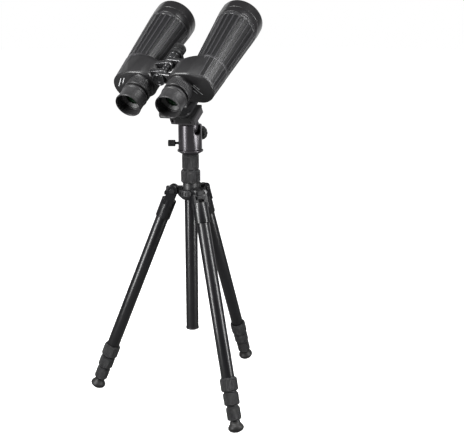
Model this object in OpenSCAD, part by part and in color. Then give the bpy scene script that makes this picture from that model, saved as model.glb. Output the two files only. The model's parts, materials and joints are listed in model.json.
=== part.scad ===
// Giant individual-focus binoculars on an L-bracket, a ball head and a four-section travel tripod.
// Millimetres. +Y is the way the binoculars look, +Z is up, the feet stand on Z = 0.
// The origin is the middle of the footprint box.

/* [Binoculars] */
// Angle of the optical axes above the horizon
aim_up = 33; // [30:0.5:35]
// Distance between the eyepiece axes
eye_spacing = 79.4; // [79:0.2:80]
// Distance of the eyepiece axes below the hinge axis
eye_drop = 13.7; // [13.5:0.1:14]
// Distance between the objective axes
lens_spacing = 142.6; // [142:0.2:143]
// Distance of the objective axes below the hinge axis
lens_drop = 20; // [19.8:0.1:20.4]
// Radius of each objective lens
lens_r = 39.5; // [39.3:0.1:39.6]
// Outer radius of each dew shade
shade_r = 42; // [41.9:0.1:42.3]
// Front rim of the shades, ahead of the hinge's front end
shade_front = 139.6; // [136:0.2:142]
// Outer radius of the focus rings
focus_r = 24; // [23.8:0.1:24.6]
// Outer radius of the eyecups
eyecup_r = 24; // [23.8:0.1:24.4]
// Radius of the hinge shaft
shaft_r = 7; // [6.5:0.1:7.2]

/* [Bracket and head] */
// Hinge axis above the ball's centre, square to the optical axes
hinge_above = 141.8; // [138:0.2:144]
// Hinge front end ahead of the ball's centre, along the optical axes
hinge_ahead = 35.9; // [35:0.1:37]
// Width of the bracket
bracket_w = 30; // [28:1:32]
// Height of the ball's centre
ball_z = 546; // [545:0.5:547]
// Radius of the ball
ball_r = 18; // [17.6:0.1:18]
// Radius of the head's body
head_r = 22.8; // [22.5:0.1:23.2]
// Bearing of the main lock knob, counter-clockwise from +X
main_knob_turn = 72; // [60:1:80]
// Bearing of the pan lock knob
pan_knob_turn = 205; // [195:1:215]
// Bearing of the drop notch
notch_turn = -24; // [-30:1:-18]

/* [Tripod] */
// Height of the leg hinge bolts
pivot_z = 421.4; // [421:0.2:422]
// Distance of the leg hinge bolts from the column's axis
pivot_r = 34.9; // [34.6:0.1:35.4]
// Angle of each leg from the vertical
leg_splay = 21.65; // [21.4:0.05:22]
// Bearing of leg 1, counter-clockwise from +X
leg_turn = 81; // [75:1:85]
// Radius of the top leg tube
leg_r = 12.6; // [12.4:0.1:12.8]
// Radius of the rubber feet
foot_r = 15; // [14.5:0.1:15.5]
// Radius of the outer column tube
column_r = 12.45; // [12.4:0.05:12.5]
// Bottom of the column
column_bottom = 136.2; // [130:0.2:150]

/* [Hidden] */
$fn = 64;
over = 1; // how far a cutting tool runs past what it cuts
gap = 0.3; // between faces that move past each other
run = 0.05; // radial play of a running fit
wall = 1.2; // wall of the leg and column tubes

// Where the column's axis stands, from the middle of the footprint box
column_x = 15.4;
column_y = -20.5;

// Colours
casting_black = [0.13, 0.13, 0.14];
tube_black = [0.08, 0.08, 0.09];
rubber_black = [0.16, 0.16, 0.17];
armour_grey = [0.24, 0.24, 0.25];
lens_green = [0.12, 0.2, 0.17, 0.8];
steel_grey = [0.6, 0.6, 0.62];

// Binocular half: axes as [x, z] in the hinge frame, right half
eye_at = [eye_spacing / 2, -eye_drop];
lens_at = [lens_spacing / 2, -lens_drop];
mid_at = (eye_at + lens_at) / 2;
to_eye = (eye_at - lens_at) / norm(eye_at - lens_at);

// Stations along the optical axis, measured from the hinge's front end
cover_back = -80;
housing_back = -76;
housing_front = -24;
armour_front = 104;
barrel_front = 118;
lens_seat = 105.4; // back face of the objective
cell_play = 0.1; // around and behind the objective in its cell
lens_joint = 110.6; // rim of the cemented face between its two lenses
boss_back = -86;
ring_back = -104;
ring_front = -86.5;
eyecup_back = -139.4;
eyecup_front = -109;
ocular_back = -122;
ocular_front = -74;

// Radii of the half
cone_back_r = 28.4; // outer cone at the cover
cone_rise = 0.0685; // growth of the cone's radius per millimetre forwards
mid_r = 31;
eye_side_r = 27.5;
shell = 3; // wall of the housing
barrel_wall = 2;
armour_depth = 2.2;
light_r = 24; // opening from the housing into the barrel
shade_wall = 1.2;
ocular_r = 16.1;
sleeve_r = 20.4; // wide end of the ocular barrel, under the eyecup
ocular_bore = 14;

// Hinge
lug_r = 10.5;
lug_w = 8;
washer_w = 0.8;
cap_r = 12;
cap_back = -83.5;
cap_front = -79.6;
rear_lug = -78.4; // back face of the rearmost lug
front_lug = -44.8; // back face of the third lug
lug_pitch = lug_w + washer_w + 0.4;
boss_front = -9.2;
arm_back = -9;
arm_front = -3;
stud_r = 3.1;

// Clamp and plate, heights above the ball's centre in the tilted head frame
stem_r = 7;
clamp_low = 17;
clamp_floor = 22;
clamp_high = 29;
plate_low = 22.3;
flange_low = 29.3;
plate_high = 34;
foot_low = 34.2;
foot_high = 40;
screw_top = foot_high - 2; // end of the plate's screw, inside the bracket's foot
clamp_w = 24; // half width
clamp_y0 = -18;
clamp_y1 = 22;
tail_low = 16.5; // half width of the dovetail's foot
tail_high = 14.5;
screw_high = 25.6;

// Head
head_low = 501.1;
head_high = 549.3;
base_low = 492.2;
base_high = 500.8;
spindle_r = 8;
spindle_top = 516.5;
main_knob_z = 530;
pan_knob_z = 513;

// Spider and column
hub_r = 25;
hub_low = 404;
hub_high = 423.8;
hub_chamfer = 8;
knuckle_r = 8; // round end of a spider lug
lug_half = 6; // half width of a spider lug
ear_out = 14.2; // outer face of the leg's ears
ear_in = 6.2;
ear_r = 9.8;
bolt_r = 3;
nose_low = -1.5; // underside of a lug's nose, from the bolt
nose_out = 13; // tip of the nose
tab_low = -7;
collar_low_z = [436.7, 461.4];
collar_high_z = [463.4, 491.9];
neck_r = 15.4;
inner_column_r = column_r - wall - gap;

// Leg, distances from the hinge bolt along the leg
shoulder_end = 58.6;
leg_len = 453.4;
collar_ends = [350.5, 378, 404, 431.5];
collar_rs = [16.5, 15, 13.5];
tube_rs = [leg_r, leg_r - wall - gap, leg_r - 2 * (wall + gap), leg_r - 3 * (wall + gap)];
tube_tops = [24, 76, 86, 96];
tube_ends = [371.5, 397.5, 425.5, 442.5];
foot_centre = leg_len - 9.9; // widest ring of the foot
foot_half = 9; // half thickness of the foot's round part
foot_neck = 10.2;
socket_r = tube_rs[3] + 0.1; // bore of the foot, around the last tube
foot_outline = concat(
    [for (a = [-90 : 10 : 0]) [foot_r * cos(a), foot_half * sin(a)]],
    [[foot_r - 0.8, 3.2], [foot_neck + 1.6, 6.4], [foot_neck, 9], [foot_neck, 11.7]],
    [[socket_r, 11.7], [socket_r, 0.9], [0, 0.9]]
);

// ---- helpers ----

// Revolved solid about a line along Y; points are [radius, y]
module lathe(points, sides = 64) {
    rotate([-90, 0, 0])
        rotate_extrude($fn = sides)
            polygon(points);
}

// Round bar along Y
module bar_y(r, y0, y1) {
    translate([0, y0, 0])
        rotate([-90, 0, 0])
            cylinder(r = r, h = y1 - y0);
}

// Round bar along X
module bar_x(r, x0, x1) {
    translate([x0, 0, 0])
        rotate([0, 90, 0])
            cylinder(r = r, h = x1 - x0);
}

// Block between two corners
module block(low, high) {
    translate(low)
        cube(high - low);
}

// Points of an arc of the given depth across a radius, bulging towards +y when depth is positive
function lens_arc(r, y, depth, steps) =
    [for (i = [0 : steps]) [r * i / steps, y + depth * (1 - pow(i / steps, 2))]];

function backwards(list) = [for (i = [len(list) - 1 : -1 : 0]) list[i]];

// Lens with a front arc and a back arc
module lens(r, y_back, y_front, back_depth, front_depth) {
    lathe(concat(lens_arc(r, y_front, front_depth, 8), backwards(lens_arc(r, y_back, -back_depth, 8))));
}

// ---- frames ----

module on_column() {
    translate([column_x, column_y, 0])
        children();
}

// Frame of the ball, tilted with the binoculars
module on_ball() {
    on_column()
        translate([0, 0, ball_z])
            rotate([aim_up, 0, 0])
                children();
}

// Frame of the hinge's front end: +Y forwards along the optical axes
module on_hinge() {
    on_ball()
        translate([0, hinge_ahead, hinge_above])
            children();
}

// The same frame for a half drawn on the right: side 1 keeps it, side -1 mirrors it to the left
module half(side) {
    on_hinge()
        mirror([side < 0 ? 1 : 0, 0, 0])
            children();
}

module on_eye(side) {
    half(side)
        translate([eye_at[0], 0, eye_at[1]])
            children();
}

module on_lens(side) {
    half(side)
        translate([lens_at[0], 0, lens_at[1]])
            children();
}

function leg_bearing(n) = leg_turn - 120 * (n - 1);

// Upright frame of a leg: +X away from the column
module leg_upright(n) {
    on_column()
        rotate([0, 0, leg_bearing(n)])
            translate([pivot_r, 0, pivot_z])
                children();
}

// Frame along a leg: -Z runs down it from the hinge bolt
module along_leg(n) {
    leg_upright(n)
        rotate([0, -leg_splay, 0])
            children();
}

// ---- tripod ----

// Lug between a leg's ears, with the nose that the leg's angle stop rests under
module spider_lug() {
    translate([pivot_r, lug_half, pivot_z])
        rotate([90, 0, 0])
            linear_extrude(2 * lug_half) {
                circle(r = knuckle_r);
                translate([-pivot_r + column_r + 4, 0.4 - knuckle_r])
                    square([pivot_r - column_r - 4, 2 * knuckle_r - 0.8]);
                translate([0, nose_low])
                    square([nose_out, knuckle_r - 1 - nose_low]);
            }
}

module spider() {
    color(casting_black)
        on_column()
            difference() {
                union() {
                    rotate_extrude()
                        polygon([
                            [0, hub_low],
                            [hub_r - hub_chamfer, hub_low],
                            [hub_r, hub_low + hub_chamfer],
                            [hub_r, hub_high - 1],
                            [hub_r - 1, hub_high],
                            [neck_r + 1.6, hub_high],
                            [neck_r, hub_high + 2],
                            [neck_r, collar_low_z[0] + 18],
                            [0, collar_low_z[0] + 18]
                        ]);
                    for (n = [1 : 3])
                        rotate([0, 0, leg_bearing(n)])
                            spider_lug();
                }
                translate([0, 0, hub_low - over])
                    cylinder(r = column_r + run, h = 80);
                for (n = [1 : 3])
                    rotate([0, 0, leg_bearing(n)])
                        translate([pivot_r, -20, pivot_z])
                            rotate([-90, 0, 0])
                                cylinder(r = bolt_r + run, h = 40);
                for (n = [1 : 3], k = [-1 : 1])
                    rotate([0, 0, leg_bearing(n) + 60 + 14 * k])
                        block([hub_r - 1.6, -1.6, hub_low + 9], [hub_r + over, 1.6, hub_high - 4]);
            }
}

module leg_hinge_bolts() {
    color(steel_grey)
        for (n = [1 : 3])
            leg_upright(n) {
                bar_y(bolt_r, -ear_out - 2, ear_out + 2);
                bar_y(4.6, ear_out + 0.2, ear_out + 2.6);
                bar_y(4.2, -ear_out - 3, -ear_out - 0.2);
            }
}

// One ear of the leg casting, drawn on the +Y side
module leg_ear() {
    translate([0, ear_out, 0])
        rotate([90, 0, 0])
            linear_extrude(ear_out - ear_in) {
                circle(r = ear_r);
                translate([-ear_r, -30])
                    square([2 * ear_r - 0.8, 30]);
            }
}

module leg_upper(n) {
    color(tube_black)
        along_leg(n) {
            difference() {
                union() {
                    leg_ear();
                    mirror([0, 1, 0])
                        leg_ear();
                    translate([0, 0, -shoulder_end])
                        cylinder(r = 14.6, h = shoulder_end - 20);
                }
                translate([0, 0, -shoulder_end - over])
                    cylinder(r = leg_r + run, h = shoulder_end - 21 + over);
                bar_y(bolt_r + run, -ear_out - over, ear_out + over);
            }
            translate([0, 0, -tube_ends[0]])
                difference() {
                    cylinder(r = leg_r, h = tube_ends[0] - tube_tops[0]);
                    translate([0, 0, -over])
                        cylinder(r = leg_r - wall, h = tube_ends[0] - tube_tops[0] + 2 * over);
                }
        }
}

// Angle stop: a tab under the lug's nose, pulled out by the plate in front of the ears
module leg_stop(n) {
    tab_high = nose_low - gap;
    color(casting_black)
        leg_upright(n) {
            block([knuckle_r + 0.5, -lug_half + gap, tab_low], [nose_out + 1.2, lug_half - gap, tab_high]);
            block([nose_out + 0.8, -ear_in - 2, tab_low - 2], [nose_out + 3.4, ear_in + 2, tab_high]);
        }
}

// Twist collar: bevelled ends, bored for the tube above and for the tube that slides in it
module twist_collar(k, upper_bore) {
    z0 = -collar_ends[k + 1];
    z1 = -collar_ends[k] - 0.3;
    step = -tube_ends[k] - 0.3;
    r = collar_rs[k];
    rotate_extrude()
        polygon([
            [tube_rs[k + 1] + gap, z0],
            [r - 2.5, z0],
            [r, z0 + 4],
            [r, z1 - 3],
            [r - 1.5, z1],
            [upper_bore, z1],
            [upper_bore, step],
            [tube_rs[k + 1] + gap, step]
        ]);
}

module leg_collar(n) {
    color(rubber_black)
        along_leg(n)
            twist_collar(0, tube_rs[0] + gap);
}

// Sliding tube k of a leg, counted from 1 below the top tube
module sliding_tube(k) {
    translate([0, 0, -tube_ends[k]])
        difference() {
            cylinder(r = tube_rs[k], h = tube_ends[k] - tube_tops[k]);
            translate([0, 0, -over])
                cylinder(r = tube_rs[k] - wall, h = tube_ends[k] - tube_tops[k] + 2 * over);
        }
}

module leg_section(n, k) {
    color(tube_black)
        along_leg(n) {
            sliding_tube(k);
            twist_collar(k, tube_rs[k] + 0.1);
        }
}

module leg_last_section(n) {
    color(rubber_black) {
        along_leg(n)
            sliding_tube(3);
        difference() {
            along_leg(n)
                translate([0, 0, -foot_centre])
                    rotate_extrude()
                        polygon(foot_outline);
            on_column()
                block([-300, -300, -40], [300, 300, 0]);
        }
    }
}

module column_tube() {
    color(tube_black)
        on_column()
            translate([0, 0, column_bottom + 3])
                difference() {
                    cylinder(r = column_r, h = collar_high_z[0] + 18.6 - column_bottom - 3);
                    translate([0, 0, -over])
                        cylinder(r = column_r - wall, h = 400);
                }
}

module column_end_cap() {
    color(casting_black)
        on_column()
            difference() {
                union() {
                    translate([0, 0, column_bottom])
                        cylinder(r = column_r + 0.6, h = 3);
                    translate([0, 0, column_bottom + 3])
                        cylinder(r = column_r - wall - 0.05, h = 14);
                }
                translate([0, 0, column_bottom - over])
                    cylinder(r = 3.175, h = 10 + over);
            }
}

// Ring collar of the column, bevelled at both ends
module column_collar(r, z, low_bore, step_z, high_bore, bevel) {
    color(rubber_black)
        on_column()
            rotate_extrude()
                polygon([
                    [low_bore, z[0]],
                    [r - bevel, z[0]],
                    [r, z[0] + 2.5],
                    [r, z[1] - 2.5],
                    [r - bevel, z[1]],
                    [high_bore, z[1]],
                    [high_bore, step_z],
                    [low_bore, step_z]
                ]);
}

module column_lower_collar() {
    column_collar(18.8, collar_low_z, neck_r + gap, collar_low_z[0] + 18.3, column_r + gap, 2);
}

module column_upper_collar() {
    column_collar(16.4, collar_high_z, column_r + gap, collar_high_z[0] + 19, inner_column_r + gap, 0.8);
}

module column_inner_tube() {
    color(tube_black)
        on_column()
            difference() {
                union() {
                    translate([0, 0, column_bottom + 40])
                        cylinder(r = inner_column_r, h = base_low - column_bottom - 40);
                    translate([0, 0, base_low - over])
                        cylinder(r = 4.7, h = 7 + over);
                }
                translate([0, 0, column_bottom + 40 - over])
                    cylinder(r = inner_column_r - wall, h = base_low - 4 - column_bottom - 40 + over);
            }
}

// ---- ball head ----

module head_base() {
    color(casting_black)
        on_column()
            difference() {
                rotate_extrude()
                    polygon([
                        [0, base_low],
                        [15, base_low],
                        [17, base_low + 1],
                        [24.5, base_high - 3.4],
                        [25, base_high - 2.4],
                        [25, base_high - 0.8],
                        [24.2, base_high],
                        [spindle_r, base_high],
                        [spindle_r, spindle_top],
                        [0, spindle_top]
                    ]);
                translate([0, 0, base_low - over])
                    cylinder(r = 4.75, h = 8 + over);
            }
}

module head_body() {
    color(casting_black)
        on_column()
            difference() {
                union() {
                    rotate_extrude()
                        polygon([
                            [0, head_low],
                            [head_r - 0.6, head_low],
                            [head_r, head_low + 0.6],
                            [head_r, head_high - 1.4],
                            [head_r - 1.2, head_high],
                            [0, head_high]
                        ]);
                    rotate([0, 0, main_knob_turn])
                        translate([0, 0, main_knob_z])
                            bar_x(8.5, 15, 24);
                }
                translate([0, 0, ball_z])
                    sphere(r = ball_r + gap);
                translate([0, 0, head_low - over])
                    cylinder(r = spindle_r + gap, h = spindle_top + 0.6 - head_low + over);
                rotate([0, 0, main_knob_turn])
                    translate([0, 0, main_knob_z])
                        bar_x(3.3, 12, 26);
                rotate([0, 0, pan_knob_turn])
                    translate([0, 0, pan_knob_z])
                        bar_x(2.8, 7, 26);
                rotate([0, 0, notch_turn])
                    translate([0, 0, head_high - 12]) {
                        bar_x(stem_r + 0.8, 10, 30);
                        block([10, -stem_r - 0.8, 0], [30, stem_r + 0.8, 20]);
                    }
            }
}

module head_ball() {
    color(casting_black)
        on_ball() {
            sphere(r = ball_r);
            translate([0, 0, 10])
                cylinder(r = stem_r, h = clamp_low - 10 + 1);
            difference() {
                union() {
                    block([-27, clamp_y0, clamp_low], [clamp_w, clamp_y1, clamp_floor]);
                    block([-27, clamp_y0, clamp_floor - 1], [-24.2, clamp_y1, clamp_high]);
                    translate([0, clamp_y1, 0])
                        rotate([90, 0, 0])
                            linear_extrude(clamp_y1 - clamp_y0)
                                polygon([
                                    [clamp_w, clamp_floor - 1],
                                    [clamp_w, clamp_high],
                                    [tail_high + gap, clamp_high],
                                    [tail_low + gap, plate_low],
                                    [tail_low + gap, clamp_floor - 1]
                                ]);
                    block([-36, -4, clamp_low - 2.6], [-24.2, 4, clamp_low + 0.4]);
                }
                translate([0, 0, screw_high])
                    bar_x(2.2, -30, -20);
            }
        }
}

module clamp_jaw() {
    color(casting_black)
        on_ball()
            difference() {
                translate([0, clamp_y1 - 1, 0])
                    rotate([90, 0, 0])
                        linear_extrude(clamp_y1 - clamp_y0 - 2)
                            polygon([
                                [-21, clamp_floor + 0.3],
                                [-21, clamp_high],
                                [-tail_high - gap, clamp_high],
                                [-tail_low - gap, clamp_floor + 0.3]
                            ]);
                translate([0, 0, screw_high])
                    bar_x(2.2, -30, -10);
            }
}

module clamp_knob() {
    color(rubber_black)
        on_ball()
            translate([0, 0, screw_high]) {
                bar_x(1.9, -32, -17.5);
                bar_x(4, -32, -27.3);
                difference() {
                    bar_x(8, -56, -31.5);
                    for (a = [0 : 30 : 330])
                        rotate([a, 0, 0])
                            translate([0, 8.9, 0])
                                bar_x(1.4, -57, -34);
                }
            }
}

module quick_plate() {
    color(rubber_black)
        on_ball() {
            difference() {
                union() {
                    block([-clamp_w, -20, flange_low], [clamp_w, 24, plate_high - 0.8]);
                    for (x = [-22 : 4 : 22])
                        block([x - 1.3, -19, plate_high - 1.6], [x + 1.3, 23, plate_high]);
                    translate([0, 23, 0])
                        rotate([90, 0, 0])
                            linear_extrude(42)
                                polygon([
                                    [-tail_low, plate_low],
                                    [tail_low, plate_low],
                                    [tail_high, clamp_high],
                                    [tail_high, flange_low + 1],
                                    [-tail_high, flange_low + 1],
                                    [-tail_high, clamp_high]
                                ]);
                }
                translate([0, 0, plate_low - over])
                    cylinder(r = 3.4, h = 20);
                translate([0, 0, plate_low - over])
                    cylinder(r = 7.4, h = 4 + over);
            }
            translate([0, 0, plate_low + 0.5])
                cylinder(r = 7, h = 3.2);
            translate([0, 0, plate_low + 1])
                cylinder(r = stud_r, h = screw_top - plate_low - 1);
        }
}

// ---- bracket ----

module bracket() {
    half_w = bracket_w / 2;
    arm_y0 = hinge_ahead + arm_back;
    arm_y1 = hinge_ahead + arm_front;
    color(casting_black)
        on_ball()
            difference() {
                union() {
                    block([-half_w, -6, foot_low], [half_w, arm_y1, foot_high]);
                    translate([0, -6, foot_low])
                        cylinder(r = half_w - 0.5, h = foot_high - foot_low);
                    block([-half_w + 2, arm_y0, foot_low], [half_w - 2, arm_y1, hinge_above]);
                    translate([0, 0, hinge_above])
                        bar_y(half_w - 2.2, arm_y0, arm_y1);
                    translate([2.5, 0, 0])
                        rotate([0, -90, 0])
                            linear_extrude(5)
                                polygon([
                                    [foot_high - 1, 4],
                                    [foot_high - 1, arm_y0 + 1],
                                    [foot_high + 34, arm_y0 + 1]
                                ]);
                }
                translate([0, 0, foot_low - over])
                    cylinder(r = stud_r + 0.1, h = screw_top + 0.4 - foot_low + over);
                translate([0, 0, hinge_above])
                    bar_y(stud_r + 0.3, arm_y0 - over, arm_y1 + over);
            }
}

module bracket_knob() {
    color(rubber_black)
        on_hinge()
            difference() {
                union() {
                    lathe([[0, -2.7], [11, -2.7], [12.4, -1.4], [12.4, 14], [11, 15.4], [0, 15.4]]);
                    bar_y(stud_r, -19, -2);
                }
                for (a = [0 : 15 : 345])
                    rotate([0, a, 0])
                        translate([0, 0, 12.9])
                            bar_y(0.9, 0, 13);
            }
}

// ---- hinge ----

module hinge_shaft() {
    color(tube_black)
        on_hinge()
            difference() {
                union() {
                    bar_y(shaft_r, cap_front + 0.1, boss_front);
                    bar_y(lug_r, front_lug + 2 * lug_pitch, boss_front);
                }
                bar_y(stud_r + 0.2, -22, 0);
            }
}

module hinge_cap() {
    color(tube_black)
        on_hinge()
            lathe([
                [0, cap_back + 1.2],
                [cap_r - 2.2, cap_back + 1.2],
                [cap_r - 1.8, cap_back],
                [cap_r - 0.8, cap_back],
                [cap_r, cap_back + 0.8],
                [cap_r, cap_front],
                [0, cap_front]
            ]);
}

module hinge_washers() {
    color(steel_grey)
        on_hinge()
            for (y = [rear_lug - 1, rear_lug - 1 + lug_pitch, front_lug - 1 + lug_pitch, front_lug - 1 + 2 * lug_pitch])
                difference() {
                    bar_y(lug_r - 0.5, y, y + washer_w);
                    bar_y(shaft_r + run, y - over, y + washer_w + over);
                }
}

// ---- binocular halves ----

function cone_r(y) = cone_back_r + cone_rise * (y - cover_back);

// Round post along Y for the hulls of the housing
module post(at, r0, r1, y0, y1) {
    translate([at[0], y0, at[1]])
        rotate([-90, 0, 0])
            cylinder(r1 = r0, r2 = r1, h = y1 - y0, $fn = 48);
}

// Hinge lug of the right half with its arm to the housing
module lug(y) {
    hull() {
        post([0, 0], lug_r, lug_r, y, y + lug_w);
        post([28, -2], 9.5, 9.5, y, y + lug_w);
    }
}

// Back faces of the two lugs of a half: the right half has the outer pair, the left the inner pair
function lug_ys(side) = side > 0 ? [rear_lug, front_lug + lug_pitch] : [rear_lug + lug_pitch, front_lug];

// The half's outline behind the barrel, from y0 to y1, grown by grow0 and grow1 at its ends
module outline(y0, y1, grow0, grow1) {
    hull() {
        post(lens_at, cone_back_r + grow0, cone_back_r + grow1, y0, y1);
        post(mid_at, mid_r + grow0, mid_r + grow1, y0, y1);
        post(eye_at, eye_side_r + grow0, eye_side_r + grow1, y0, y1);
    }
}

module housing(side) {
    color(armour_grey)
        half(side)
            difference() {
                union() {
                    hull() {
                        post(lens_at, cone_r(housing_back), cone_r(housing_front), housing_back, housing_front);
                        post(mid_at, mid_r, mid_r, housing_back, housing_front - 8);
                        post(eye_at, eye_side_r, eye_side_r - 1, housing_back, housing_front - 9);
                    }
                    for (y = lug_ys(side))
                        lug(y);
                }
                hull() {
                    post(lens_at, cone_back_r - shell, cone_back_r - shell, housing_back - over, housing_front - 5);
                    post(mid_at, mid_r - shell, mid_r - shell, housing_back - over, housing_front - 12);
                    post(eye_at, eye_side_r - shell, eye_side_r - shell - 1, housing_back - over, housing_front - 13);
                }
                outline(rear_lug - over, housing_back, 0.6 + gap, 0.6 + gap);
                translate([lens_at[0], 0, lens_at[1]])
                    bar_y(light_r, housing_front - 8, housing_front + over);
                bar_y(shaft_r + run, rear_lug - over, housing_front);
            }
}

module cover(side) {
    color(armour_grey)
        half(side)
            difference() {
                union() {
                    outline(cover_back, housing_back - 0.1, -1, 0.6);
                    translate([eye_at[0], 0, eye_at[1]])
                        bar_y(21, boss_back, cover_back + 1);
                }
                translate([eye_at[0], 0, eye_at[1]])
                    bar_y(ocular_r + run, boss_back - over, housing_back + over);
            }
}

// Right-angle prism: long face at y = 0, roof edge at y = depth, roof edge along X
module prism(width, depth) {
    rotate([90, 0, 90])
        translate([0, 0, -width / 2])
            linear_extrude(width)
                polygon([[0, -depth + 1], [0, depth - 1], [1, depth - 1], [depth - 1, 1], [depth - 1, -1], [1, -depth + 1]]);
}

module prisms(side) {
    turn = atan2(to_eye[1], to_eye[0]);
    shift = norm(eye_at - lens_at) / sqrt(2);
    u = [cos(turn + 45), sin(turn + 45)];
    v = [cos(turn - 45), sin(turn - 45)];
    first = lens_at + u * shift / 2;
    second = lens_at + u * shift + v * shift / 2;
    color(lens_green)
        half(side) {
            translate([second[0], -57.5, second[1]])
                rotate([0, -turn - 45, 0])
                    prism(15, 15.5);
            translate([first[0], -58.5, first[1]])
                rotate([0, -turn + 45, 0])
                    mirror([0, 1, 0])
                        prism(15, 15.5);
        }
}

module barrel(side) {
    back_r = cone_r(housing_front) - armour_depth;
    front_r = cone_r(armour_front) - armour_depth;
    color(armour_grey)
        on_lens(side)
            lathe([
                [light_r - 0.1, housing_front - 6],
                [light_r - 0.1, housing_front + 0.2],
                [back_r, housing_front + 0.2],
                [front_r, armour_front],
                [cone_r(armour_front), armour_front],
                [shade_r - 0.1, barrel_front - 0.6],
                [shade_r - 0.7, barrel_front],
                [lens_r + cell_play, barrel_front],
                [lens_r + cell_play, lens_seat - cell_play],
                [front_r - barrel_wall, lens_seat - cell_play],
                [back_r - barrel_wall, housing_front + 6],
                [light_r - 3, housing_front + 2],
                [light_r - 3, housing_front - 6]
            ]);
}

module armour(side) {
    y0 = housing_front + 0.2;
    y1 = armour_front - 0.2;
    panel_depth = 1;
    color(rubber_black)
        on_lens(side)
            difference() {
                intersection() {
                    lathe([[0, y0], [cone_r(y0), y0], [cone_r(y1) - 1, y1], [0, y1]], 240);
                    translate([0, y0, 0])
                        rotate([-90, 0, 0])
                            cylinder(
                                r1 = (cone_r(y0) - panel_depth) / cos(15),
                                r2 = (cone_r(y1) - panel_depth - 1) / cos(15),
                                h = y1 - y0,
                                $fn = 12
                            );
                }
                lathe([
                    [0, y0 - over],
                    [cone_r(y0 - over) - armour_depth + 0.1, y0 - over],
                    [cone_r(y1 + over) - armour_depth + 0.1, y1 + over],
                    [0, y1 + over]
                ], 240);
            }
}

module objective(side) {
    color(lens_green)
        on_lens(side) {
            lens(lens_r, lens_joint + 0.1, lens_joint + 4.4, 1.6, 2.6);
            lathe(concat([[0, lens_seat], [lens_r, lens_seat]], backwards(lens_arc(lens_r, lens_joint, -1.6, 8))));
        }
}

module shade(side) {
    color(armour_grey)
        on_lens(side) {
            lathe([
                [shade_r - shade_wall, barrel_front + 0.2],
                [shade_r - 0.7, barrel_front + 0.2],
                [shade_r, barrel_front + 1],
                [shade_r, shade_front - 0.8],
                [shade_r - 0.8, shade_front],
                [shade_r - shade_wall, shade_front]
            ]);
            lathe([
                [lens_r - 1.6, lens_joint + 5],
                [lens_r, lens_joint + 4.6],
                [lens_r, barrel_front],
                [lens_r - 1, barrel_front],
                [lens_r - 1.6, barrel_front - 1]
            ]);
        }
}

module focus_ring(side) {
    counterbore = sleeve_r + gap;
    color(rubber_black)
        on_eye(side)
            difference() {
                lathe([
                    [ocular_r + run, ring_front],
                    [focus_r - 1, ring_front],
                    [focus_r, ring_front - 1],
                    [focus_r, ring_back + 1],
                    [focus_r - 1, ring_back],
                    [counterbore, ring_back],
                    [counterbore, ring_front - 7],
                    [ocular_r + run, ring_front - 7]
                ]);
                for (a = [0 : 15 : 345])
                    rotate([0, a, 0])
                        translate([0, 0, focus_r + 0.4])
                            bar_y(1.2, ring_back + 3, ring_front - 3);
            }
}

module ocular_barrel(side) {
    color(tube_black)
        on_eye(side)
            lathe([
                [ocular_bore, ocular_front],
                [ocular_r, ocular_front],
                [ocular_r, -98],
                [sleeve_r, -98],
                [sleeve_r, ocular_back],
                [sleeve_r - 2, ocular_back],
                [ocular_bore, ocular_back + 5]
            ]);
}

module eye_lenses(side) {
    color(lens_green)
        on_eye(side) {
            lens(ocular_bore - 0.1, -115, -111, 2.5, 0.5);
            lens(ocular_bore - 0.1, -82, -78, 0.5, 1.5);
        }
}

module eyecup(side) {
    color(rubber_black)
        on_eye(side)
            lathe([
                [sleeve_r + 0.1, eyecup_front],
                [eyecup_r - 1, eyecup_front],
                [eyecup_r + 0.2, eyecup_front - 2],
                [eyecup_r - 0.9, eyecup_front - 8],
                [eyecup_r - 0.9, eyecup_back + 8],
                [eyecup_r, eyecup_back + 2],
                [eyecup_r - 0.4, eyecup_back],
                [eyecup_r - 1.4, eyecup_back],
                [eyecup_r - 2.2, eyecup_back + 1],
                [sleeve_r + 0.4, eyecup_back + 3],
                [sleeve_r + 0.4, ocular_back - 1.2],
                [sleeve_r - 1.8, ocular_back - 1.2],
                [sleeve_r - 1.8, ocular_back - 0.2],
                [sleeve_r + 0.1, ocular_back - 0.2]
            ]);
}

// ---- knobs of the head ----

module main_lock_knob() {
    color(rubber_black)
        on_column()
            rotate([0, 0, main_knob_turn])
                translate([0, 0, main_knob_z]) {
                    bar_x(3, 15, 26);
                    difference() {
                        rotate([0, 90, 0])
                            rotate_extrude()
                                polygon([
                                    [0, 24.5],
                                    [12, 24.5],
                                    [13.5, 26],
                                    [13.5, 33],
                                    [12, 35.6],
                                    [8, 36.6],
                                    [0, 36.6]
                                ]);
                        for (a = [0 : 36 : 324])
                            rotate([a, 0, 0])
                                translate([0, 14.6, 0])
                                    bar_x(2, 27, 40);
                    }
                }
}

module pan_lock_knob() {
    color(rubber_black)
        on_column()
            rotate([0, 0, pan_knob_turn])
                translate([0, 0, pan_knob_z]) {
                    bar_x(2.5, 8.6, 30);
                    difference() {
                        bar_x(6.25, 28.5, 42.5);
                        for (a = [0 : 30 : 330])
                            rotate([a, 0, 0])
                                translate([0, 6.9, 0])
                                    bar_x(0.9, 30, 41);
                    }
                }
}

// ---- nodes ----

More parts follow.
